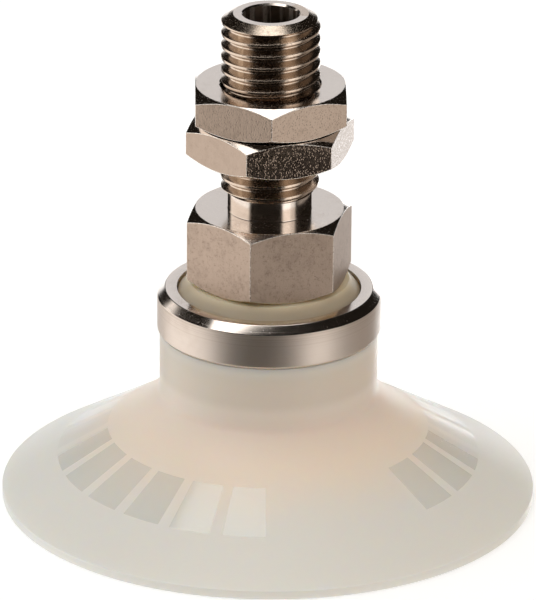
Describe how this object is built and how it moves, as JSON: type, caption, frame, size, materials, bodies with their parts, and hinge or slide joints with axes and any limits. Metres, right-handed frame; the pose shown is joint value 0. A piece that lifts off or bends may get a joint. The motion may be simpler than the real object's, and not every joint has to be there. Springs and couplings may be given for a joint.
{
  "type": "vacuum suction cup",
  "caption": "Soft silicone suction bell on a hollow M8 threaded fitting, held by a metal clamp band, with two thin jam nuts for mounting in a bracket.",
  "frame": {"origin": "centre of the circle that the lip seals on, at the bottom of the part", "axes": "+Z along the axis of the stud, from the lip towards the vacuum port; the front of the part faces -Y"},
  "size_m": [0.0432, 0.0432, 0.0411],
  "materials": {
    "silicone": "translucent milky silicone, fine matt mould texture with polished pads",
    "nickel_brass": "bright nickel plating with fine turning marks",
    "seal_rubber": "matt black",
    "sintered_bronze": "fine grainy",
    "spring_steel": "satin"
  },
  "bodies": {
    "fitting": {"threaded_fitting": "nickel_brass", "clamp_band": "nickel_brass", "neck_bush": "nickel_brass", "seal_ring": "seal_rubber", "filter_disc": "sintered_bronze", "filter_snap_ring": "spring_steel"},
    "cup": {"suction_cup": "silicone"},
    "lower_nut": {"lower_jam_nut": "nickel_brass"},
    "upper_nut": {"upper_jam_nut": "nickel_brass"}
  },
  "joints": [
    {"name": "bell_stroke", "type": "slide", "parent": "fitting", "child": "cup", "axis": [0, 0, 1], "range_m": [0, 0.003], "stiffness_N_per_m": 2500, "deforming": ["suction_cup"]},
    {"name": "lower_nut_travel", "type": "slide", "parent": "fitting", "child": "lower_nut", "axis": [0, 0, 1], "range_m": [-0.003, 0]},
    {"name": "upper_nut_travel", "type": "slide", "parent": "fitting", "child": "upper_nut", "axis": [0, 0, 1], "range_m": [0, 0.0055]}
  ]
}
